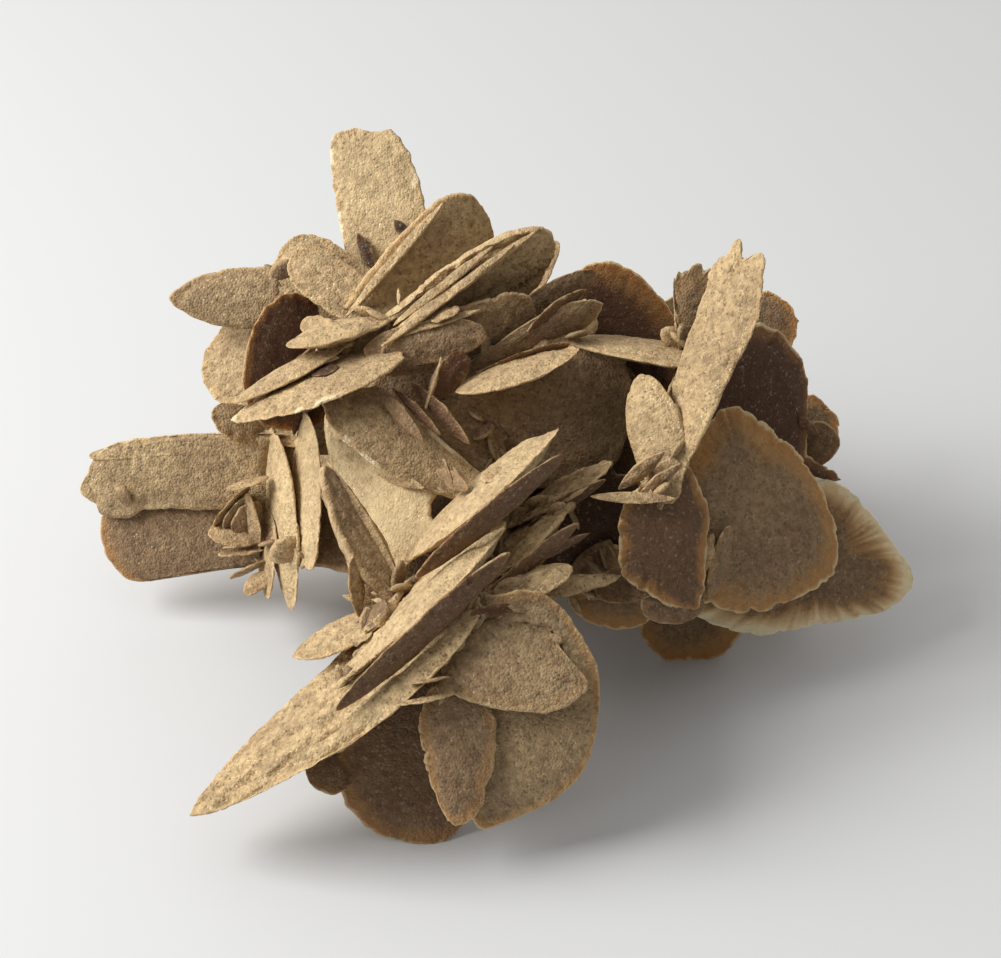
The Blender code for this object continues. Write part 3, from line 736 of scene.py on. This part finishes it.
def add(tree, kind, settings=None, **links):
    """Adds a node: settings go to its own values or to its sockets, and links join its sockets."""
    node = tree.nodes.new(kind)
    for key, value in (settings or {}).items():
        if isinstance(key, str) and hasattr(node, key):
            setattr(node, key, value)
        else:
            node.inputs[key].default_value = value
    for key, source in links.items():
        socket = node.inputs[int(key[1:])] if key[0] == "_" else node.inputs[key]
        tree.links.new(source, socket)
    return node


def new_material(name):
    made = bpy.data.materials.new(name)
    made.use_nodes = True
    shader = made.node_tree.nodes["Principled BSDF"]
    return made, made.node_tree, shader


def mix(tree, share, first, second, blend="MIX"):
    """Mixes two colours; each is a socket or a linear colour."""
    node = add(tree, "ShaderNodeMix", {"data_type": "RGBA", "blend_type": blend})
    for socket, value in ((0, share), (6, first), (7, second)):
        if isinstance(value, (tuple, float)):
            node.inputs[socket].default_value = value
        else:
            tree.links.new(value, node.inputs[socket])
    return node.outputs[2]


# Sizes of a sand grain, of a clump of grains and of a browner drift, in metres.
GRAIN = 0.00042
CLUMP = 0.0016
DRIFT = 0.011


def sandy_gypsum():
    """Gypsum that has enclosed dune sand.

    The sand grains, about 0.4 mm, give a speckled tan surface with dark and clear grains; the
    gypsum between them sparkles. Rims with less sand are amber, and whitish at the very edge.
    Whole faces are whitened where light is painted, and a tone above 1 mixes to a painted shade.
    """
    colours = bpy.context.scene.rose_colours
    made, tree, shader = new_material(GYPSUM)
    place = add(tree, "ShaderNodeTexCoord").outputs["Object"]
    grains = add(tree, "ShaderNodeTexVoronoi", {"Scale": 1 / GRAIN}, Vector=place)
    clumps = add(tree, "ShaderNodeTexNoise", {"Scale": 1 / CLUMP, "Detail": 3.0}, Vector=place)
    drift = add(tree, "ShaderNodeTexNoise", {"Scale": 1 / DRIFT, "Detail": 4.0}, Vector=place)
    grain_shade = add(tree, "ShaderNodeSeparateColor", _0=grains.outputs["Color"])
    drifts = add(tree, "ShaderNodeMapRange", {"From Min": 0.36, "From Max": 0.64},
                 Value=drift.outputs["Fac"])
    body = mix(tree, drifts.outputs[0], linear(colours.brown), linear(colours.tan))
    tone = add(tree, "ShaderNodeAttribute", {"attribute_name": "tone"}).outputs["Fac"]
    body = mix(tree, tone, body, linear(colours.gypsum))
    # Painted shade: from a tone of 1 to 2 the colour mixes to a near-black brown, the shade in slits
    # and pits and on blades that lie in shade.
    painted_shade = add(tree, "ShaderNodeMapRange", {"From Min": 1.0, "From Max": 2.0}, Value=tone)
    body = mix(tree, painted_shade.outputs[0], body, linear(colours.painted_shade))
    clump = add(tree, "ShaderNodeMapRange", {"From Min": 0.35, "From Max": 0.6, "To Min": 0.42,
                "To Max": 0.0}, Value=clumps.outputs["Fac"])
    body = mix(tree, clump.outputs[0], body, linear(colours.dark_sand))
    pick = add(tree, "ShaderNodeMapRange", {"From Min": 0.0, "From Max": 1.0, "To Min": 0.84,
               "To Max": 1.16}, Value=grain_shade.outputs[0])
    body = mix(tree, 1.0, body, add(tree, "ShaderNodeCombineColor", _0=pick.outputs[0],
               _1=pick.outputs[0], _2=pick.outputs[0]).outputs[0], "MULTIPLY")
    rare = add(tree, "ShaderNodeMapRange", {"From Min": 0.9, "From Max": 0.93, "To Max": 0.5},
               Value=grain_shade.outputs[1])
    body = mix(tree, rare.outputs[0], body, linear(colours.dark_sand))
    clear = add(tree, "ShaderNodeMapRange", {"From Min": 0.93, "From Max": 0.97, "To Max": 0.15},
                Value=grain_shade.outputs[2])
    body = mix(tree, clear.outputs[0], body, linear(colours.clear_grain))
    amber = add(tree, "ShaderNodeAttribute", {"attribute_name": "amber"}).outputs["Fac"]
    pale = add(tree, "ShaderNodeAttribute", {"attribute_name": "pale"}).outputs["Fac"]
    amber_share = add(tree, "ShaderNodeMath", {"operation": "MULTIPLY", 1: 0.7}, _0=amber)
    body = mix(tree, amber_share.outputs[0], body, linear(colours.amber))
    # The pale attribute whitens the rim and the broken white gypsum, and whole faces where light is
    # painted.
    pale_share = add(tree, "ShaderNodeMath", {"operation": "MULTIPLY", 1: 0.9}, _0=pale)
    whitest = add(tree, "ShaderNodeMapRange", {"From Min": 0.8, "From Max": 1.0}, Value=pale)
    clean = mix(tree, whitest.outputs[0], linear(colours.pale_rim), linear(colours.clear_grain))
    body = mix(tree, pale_share.outputs[0], body, clean)
    glow = add(tree, "ShaderNodeMath", {"operation": "MULTIPLY", 1: 0.35}, _0=amber)
    tree.links.new(glow.outputs[0], shader.inputs["Subsurface Weight"])
    shader.inputs["Subsurface Radius"].default_value = (1.0, 0.5, 0.2)
    shader.inputs["Subsurface Scale"].default_value = 0.002
    tree.links.new(body, shader.inputs["Base Color"])
    glint = add(tree, "ShaderNodeMapRange", {"From Min": 0.93, "From Max": 0.96, "To Min": 0.85,
                "To Max": 0.25}, Value=grain_shade.outputs[0])
    tree.links.new(glint.outputs[0], shader.inputs["Roughness"])
    shader.inputs["IOR"].default_value = 1.52
    bump = add(tree, "ShaderNodeBump", {"Strength": 0.6, "Distance": 0.0003},
               Height=grains.outputs["Distance"])
    bump.invert = True
    fine = add(tree, "ShaderNodeBump", {"Strength": 0.7, "Distance": 0.0005},
               Height=clumps.outputs["Fac"], Normal=bump.outputs[0])
    tree.links.new(fine.outputs[0], shader.inputs["Normal"])
    return made


# Settings that a user would change ------------------------------------------------------------


class RoseColours(PropertyGroup):
    tan: StringProperty(
        name="Tan", description="Sandy gypsum, as an sRGB code", default="#D6BA8B")
    brown: StringProperty(
        name="Brown", description="Browner drifts of sand, as an sRGB code", default="#BCA077")
    gypsum: StringProperty(
        name="Brown gypsum", description="Gypsum with little sand, as an sRGB code",
        default="#64432F")
    # Painted shade: the near-black brown that a tone above 1 mixes in, for slits, pits and blades in
    # shade.
    painted_shade: StringProperty(
        name="Hollow", description="The dark of slits and pits, as an sRGB code",
        default="#1A110B")
    dark_sand: StringProperty(
        name="Dark sand", description="Dark grains, as an sRGB code", default="#5C452E")
    clear_grain: StringProperty(
        name="Clear grains", description="Quartz grains, as an sRGB code", default="#F0E0BC")
    amber: StringProperty(
        name="Amber", description="Gypsum near the rims, as an sRGB code", default="#CB9450")
    pale_rim: StringProperty(
        name="Pale rim", description="Clean gypsum at the very rim, as an sRGB code",
        default="#E9D2A4")


class RoseStage(PropertyGroup):
    camera_height: FloatProperty(
        name="Camera height", description="Angle of the camera above level",
        default=math.radians(38), subtype="ANGLE")
    camera_distance: FloatProperty(
        name="Camera distance", description="From the camera to the middle of the rose",
        default=0.42, unit="LENGTH")
    aim: FloatVectorProperty(
        name="Aim", description="The point that the camera looks at",
        default=(0.00137, -0.00443, 0.042), unit="LENGTH", size=3)
    lens: FloatProperty(name="Lens", description="Focal length in mm", default=83.9)
    window: FloatVectorProperty(
        name="Window", description="Where the large soft light hangs",
        default=(-0.70, -0.04, 0.59), unit="LENGTH", size=3)
    window_size: FloatProperty(
        name="Window size", description="Side of the square light", default=0.55, unit="LENGTH")
    window_power: FloatProperty(name="Window power", description="In watts", default=9.0)
    room_dark: FloatProperty(
        name="Dark side", description="Strength of the room's light in front", default=0.08)
    room_bright: FloatProperty(
        name="Bright side", description="Strength of the room's light behind", default=0.75)
    bright_side: FloatVectorProperty(
        name="Bright side's place", description="Where the room is brightest",
        default=(-0.3, 0.75, 0.6), size=3)
    window_tint: FloatVectorProperty(
        name="Window tint", description="Colour of the window's light",
        default=(1.0, 0.985, 0.96), subtype="COLOR", size=3)
    room_tint: FloatVectorProperty(
        name="Room tint", description="Colour of the room's light",
        default=(1.0, 0.975, 0.94), subtype="COLOR", size=3)
    floor_size: FloatProperty(
        name="Floor size", description="Width of the floor", default=6.0, unit="LENGTH")
    floor_colour: StringProperty(
        name="Floor", description="White paper, as an sRGB code", default="#DBDDDF")


# One operator for each group ------------------------------------------------------------------


def gypsum():
    return bpy.data.materials.get(GYPSUM) or sandy_gypsum()


def build_group(group):
    """Builds the blades of a group, each as its own piece in place of its frame node."""
    skin, names = GROUPS[group]
    for name in names:
        seed = 101 * (1 + sorted(SHEETS).index(name))
        own = replace(skin, seed=seed, **SPECIAL.get(name, {}))
        piece = blade_mesh(name + "_surface", SHEETS[name], own)
        piece.data.materials.append(gypsum())
        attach(piece, BODY)
        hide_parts(name)


def build_crystals(crystals):
    """Builds small crystals, each as its own piece."""
    for number, row in enumerate(crystals):
        crystal = Crystal(*row)
        seed = 5000 + 101 * number + int(crystal.root[0] * 7)
        own = replace(SMALL, seed=seed, tone=crystal.tone, pale=crystal.pale)
        piece = blade_mesh(crystal.name, crystal_sheet(crystal), own)
        piece.data.materials.append(gypsum())
        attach(piece, BODY)


def drawn(points, seed):
    """A value from 0 to 1 for each point, the same for all points in a cube of 0.02 mm."""
    return hashed(np.floor(points * 50).astype(np.int64), seed)


def young_crystal_places():
    """Roots and tips of the young crystals. Each root lies on a line where two blades meet, and
    the tip stands out of the blade's face and leans to the blade's middle."""
    roots, tips = [], []
    turn = directions(TURNS)
    for sheet in SHEETS.values():
        spots = rim_places(sheet, turn, sheet.reach * 0.97)
        kept = (sheet.joined > 0.9) & (drawn(spots, 7) > 0.86)
        side = np.where(drawn(spots, 8) > 0.5, 1, -1)
        inward = sheet.middle - spots
        inward = inward / np.linalg.norm(inward, axis=1, keepdims=True)
        loose = np.stack([noise(spots * 40, 1.0, 60 + k) - 0.5 for k in range(3)], axis=1)
        way = side[:, None] * sheet.axes[2] * 0.6 + inward * 0.8 + loose * 1.6
        way = way / np.linalg.norm(way, axis=1, keepdims=True)
        length = 2.2 + 4.2 * drawn(spots, 9)
        roots.append((spots - way * 0.8)[kept])
        tips.append((spots + way * length[:, None])[kept])
    roots, tips = np.concatenate(roots), np.concatenate(tips)
    order = np.argsort(drawn(roots, 10))[:YOUNG_CRYSTALS]
    return roots[order], tips[order]


def young_crystals_mesh(name):
    """Small lenses: a rim of 14 points round each, |x|^1.8 + |y|^1.8 = 1, two rings of 7/10 of
    its size raised to either side, and a point in the middle of each face. Each lens is moved to
    its place by one product of arrays."""
    roots, tips = young_crystal_places()
    count = len(roots)
    axes = crystal_axes(roots, tips, drawn(roots, 11) * 2 * math.pi)
    length = np.linalg.norm(tips - roots, axis=1)
    wide = length * (0.45 + 0.4 * drawn(roots, 12))
    thick = 0.5 + 0.12 * length
    turn = directions(YOUNG_RIM)
    reach = (np.abs(np.cos(turn)) ** 1.8 + np.abs(np.sin(turn)) ** 1.8) ** (-1 / 1.8)
    outline = np.stack([np.cos(turn) * reach, np.sin(turn) * reach], axis=1)
    rings = [(1.0, 0.0), (0.7, 0.4), (0.7, -0.4)]
    shape = [np.column_stack([outline * size, np.full(YOUNG_RIM, high)]) for size, high in rings]
    shape = np.concatenate([*shape, [[0, 0, 0.55], [0, 0, -0.55]]])
    size = np.stack([length / 2, wide / 2, thick], axis=1)
    local = shape[None] * size[:, None]
    points = ((roots + tips) / 2)[:, None] + np.einsum("cpk,ckj->cpj", local, axes)
    here = np.arange(YOUNG_RIM)
    beside = (here + 1) % YOUNG_RIM
    up, down = YOUNG_RIM, 2 * YOUNG_RIM
    top = np.stack([here, beside, beside + up, here + up], axis=1)
    low = np.stack([beside, here, here + down, beside + down], axis=1)
    quads = np.concatenate([top, low])
    peak = np.full(YOUNG_RIM, 3 * YOUNG_RIM)
    fans = np.concatenate([
        np.stack([here + up, beside + up, peak], axis=1),
        np.stack([beside + down, here + down, peak + 1], axis=1),
    ])
    shift = (np.arange(count) * len(shape))[:, None, None]
    faces = [*(quads + shift).reshape(-1, 4).tolist(), *(fans + shift).reshape(-1, 3).tolist()]
    tone = np.repeat(drawn(roots, 13) * 0.9, len(shape)).astype(np.float32)
    rim = np.tile((np.arange(len(shape)) < YOUNG_RIM) * 0.35, count).astype(np.float32)
    values = [("tone", tone), ("pale", rim), ("amber", rim * 0.6)]
    return mesh_object(name, points.reshape(-1, 3), faces, None, values)


class GroupOperator:
    bl_options = {"REGISTER", "UNDO"}
    group = ""
    crystals = ()

    def execute(self, context):
        build_group(self.group)
        build_crystals(self.crystals)
        return {"FINISHED"}


class ROSE_OT_left_strips(GroupOperator, Operator):
    """The three upright strips at the left"""

    bl_idname = "rose.left_strips"
    bl_label = "Left strips"
    group = "left_strips"


class ROSE_OT_heart_blades(GroupOperator, Operator):
    """The thick blades in the heart of the rose, which the others grow through"""

    bl_idname = "rose.heart_blades"
    bl_label = "Heart blades"
    group = "heart_blades"


class ROSE_OT_spears(GroupOperator, Operator):
    """The long stacked blades, and the thin layers and crystals on them"""

    bl_idname = "rose.spears"
    bl_label = "Spears"
    group = "spears"
    crystals = SPEAR_CRYSTALS


class ROSE_OT_front_petals(GroupOperator, Operator):
    """The round petals that hang at the front"""

    bl_idname = "rose.front_petals"
    bl_label = "Front petals"
    group = "front_petals"


class ROSE_OT_middle_blades(GroupOperator, Operator):
    """The plates and lenses in the middle, and the small blades in its hollows"""

    bl_idname = "rose.middle_blades"
    bl_label = "Middle blades"
    group = "middle_blades"
    crystals = MIDDLE_CRYSTALS


class ROSE_OT_right_petals(GroupOperator, Operator):
    """The amber petals at the right, and the small lenses on and behind them"""

    bl_idname = "rose.right_petals"
    bl_label = "Right petals"
    group = "right_petals"
    crystals = RIGHT_CRYSTALS


class ROSE_OT_upper_left_blades(GroupOperator, Operator):
    """The ribbed and sandy blades at the upper left, with their ridges and needles"""

    bl_idname = "rose.upper_left_blades"
    bl_label = "Upper left blades"
    group = "upper_left_blades"
    crystals = TOP_CRYSTALS


class ROSE_OT_left_plates(GroupOperator, Operator):
    """The two broad plates at the far left, and the little rosette beside the strips"""

    bl_idname = "rose.left_plates"
    bl_label = "Left plates"
    group = "left_plates"
    crystals = LEFT_CRYSTALS


class ROSE_OT_back_blades(GroupOperator, Operator):
    """The blades and lenses at the back and below"""

    bl_idname = "rose.back_blades"
    bl_label = "Back blades"
    group = "back_blades"
    crystals = BACK_CRYSTALS


class ROSE_OT_young_crystals(Operator):
    """The many young crystals along the lines where blades meet"""

    bl_idname = "rose.young_crystals"
    bl_label = "Young crystals"
    bl_options = {"REGISTER", "UNDO"}

    def execute(self, context):
        piece = young_crystals_mesh("young_crystals")
        piece.data.materials.append(gypsum())
        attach(piece, BODY)
        return {"FINISHED"}


def placed(name, data, place, way):
    """A light or a camera at this place, which looks this way."""
    made = bpy.data.objects.new(name, data)
    made.location = place
    made.rotation_euler = way.to_track_quat("-Z", "Y").to_euler()
    bpy.context.scene.collection.objects.link(made)
    return made


def pale_floor(stage):
    half = stage.floor_size / 2 / MM
    corners = np.array([(-half, -half, 0), (half, -half, 0), (half, half, 0), (-half, half, 0)])
    floor = mesh_object("floor", corners, np.array([[0, 1, 2, 3]]))
    paper, _, shader = new_material("white_paper")
    shader.inputs["Base Color"].default_value = linear(stage.floor_colour)
    shader.inputs["Roughness"].default_value = 0.9
    floor.data.materials.append(paper)


def window_light(stage):
    light = bpy.data.lights.new("window", "AREA")
    light.shape = "SQUARE"
    light.size = stage.window_size
    light.energy = stage.window_power
    light.color = stage.window_tint
    placed("window", light, stage.window, Vector(stage.aim) - Vector(stage.window))


def room_light(stage):
    """A world whose light fades from the bright side of the room to the other."""
    world = bpy.data.worlds.new("room")
    world.use_nodes = True
    tree = world.node_tree
    sky = tree.nodes["Background"]
    sky.inputs["Color"].default_value = (*stage.room_tint, 1.0)
    way = add(tree, "ShaderNodeTexCoord").outputs["Generated"]
    bright_side = Vector(stage.bright_side).normalized()
    facing = add(tree, "ShaderNodeVectorMath", {"operation": "DOT_PRODUCT", 1: bright_side},
                 _0=way)
    strength = add(tree, "ShaderNodeMapRange", {"From Min": -0.6, "From Max": 1.0,
                   "To Min": stage.room_dark, "To Max": stage.room_bright},
                   Value=facing.outputs["Value"])
    tree.links.new(strength.outputs[0], sky.inputs["Strength"])
    return world


def rose_camera(stage):
    lens = bpy.data.cameras.new("camera")
    lens.lens = stage.lens
    lens.sensor_width = 36
    rise = stage.camera_height
    back = Vector((0, -math.cos(rise), math.sin(rise)))
    return placed("camera", lens, Vector(stage.aim) + back * stage.camera_distance, -back)


class ROSE_OT_stage(Operator):
    """The pale floor, the soft window light, the room light and the camera"""

    bl_idname = "rose.stage"
    bl_label = "Stage"
    bl_options = {"REGISTER", "UNDO"}

    def execute(self, context):
        stage = context.scene.rose_stage
        pale_floor(stage)
        window_light(stage)
        context.scene.world = room_light(stage)
        context.scene.camera = rose_camera(stage)
        context.scene.view_settings.view_transform = "Standard"
        return {"FINISHED"}


class ROSE_PT_panel(Panel):
    bl_label = "Sand rose"
    bl_idname = "ROSE_PT_panel"
    bl_space_type = "VIEW_3D"
    bl_region_type = "UI"
    bl_category = "Sand rose"

    def draw(self, context):
        for key in RoseColours.__annotations__:
            self.layout.prop(context.scene.rose_colours, key)
        for key in RoseStage.__annotations__:
            self.layout.prop(context.scene.rose_stage, key)
        for operator in OPERATORS:
            self.layout.operator(operator.bl_idname)


OPERATORS = (
    ROSE_OT_left_strips,
    ROSE_OT_heart_blades,
    ROSE_OT_spears,
    ROSE_OT_front_petals,
    ROSE_OT_middle_blades,
    ROSE_OT_right_petals,
    ROSE_OT_upper_left_blades,
    ROSE_OT_left_plates,
    ROSE_OT_back_blades,
    ROSE_OT_young_crystals,
    ROSE_OT_stage,
)
CLASSES = (RoseColours, RoseStage, *OPERATORS, ROSE_PT_panel)


def register():
    for item in CLASSES:
        bpy.utils.register_class(item)
    bpy.types.Scene.rose_colours = PointerProperty(type=RoseColours)
    bpy.types.Scene.rose_stage = PointerProperty(type=RoseStage)


def unregister():
    del bpy.types.Scene.rose_stage
    del bpy.types.Scene.rose_colours
    for item in reversed(CLASSES):
        bpy.utils.unregister_class(item)


def main():
    register()
    for operator in OPERATORS:
        getattr(bpy.ops.rose, operator.bl_idname.split(".")[1])()


if __name__ == "__main__":
    main()
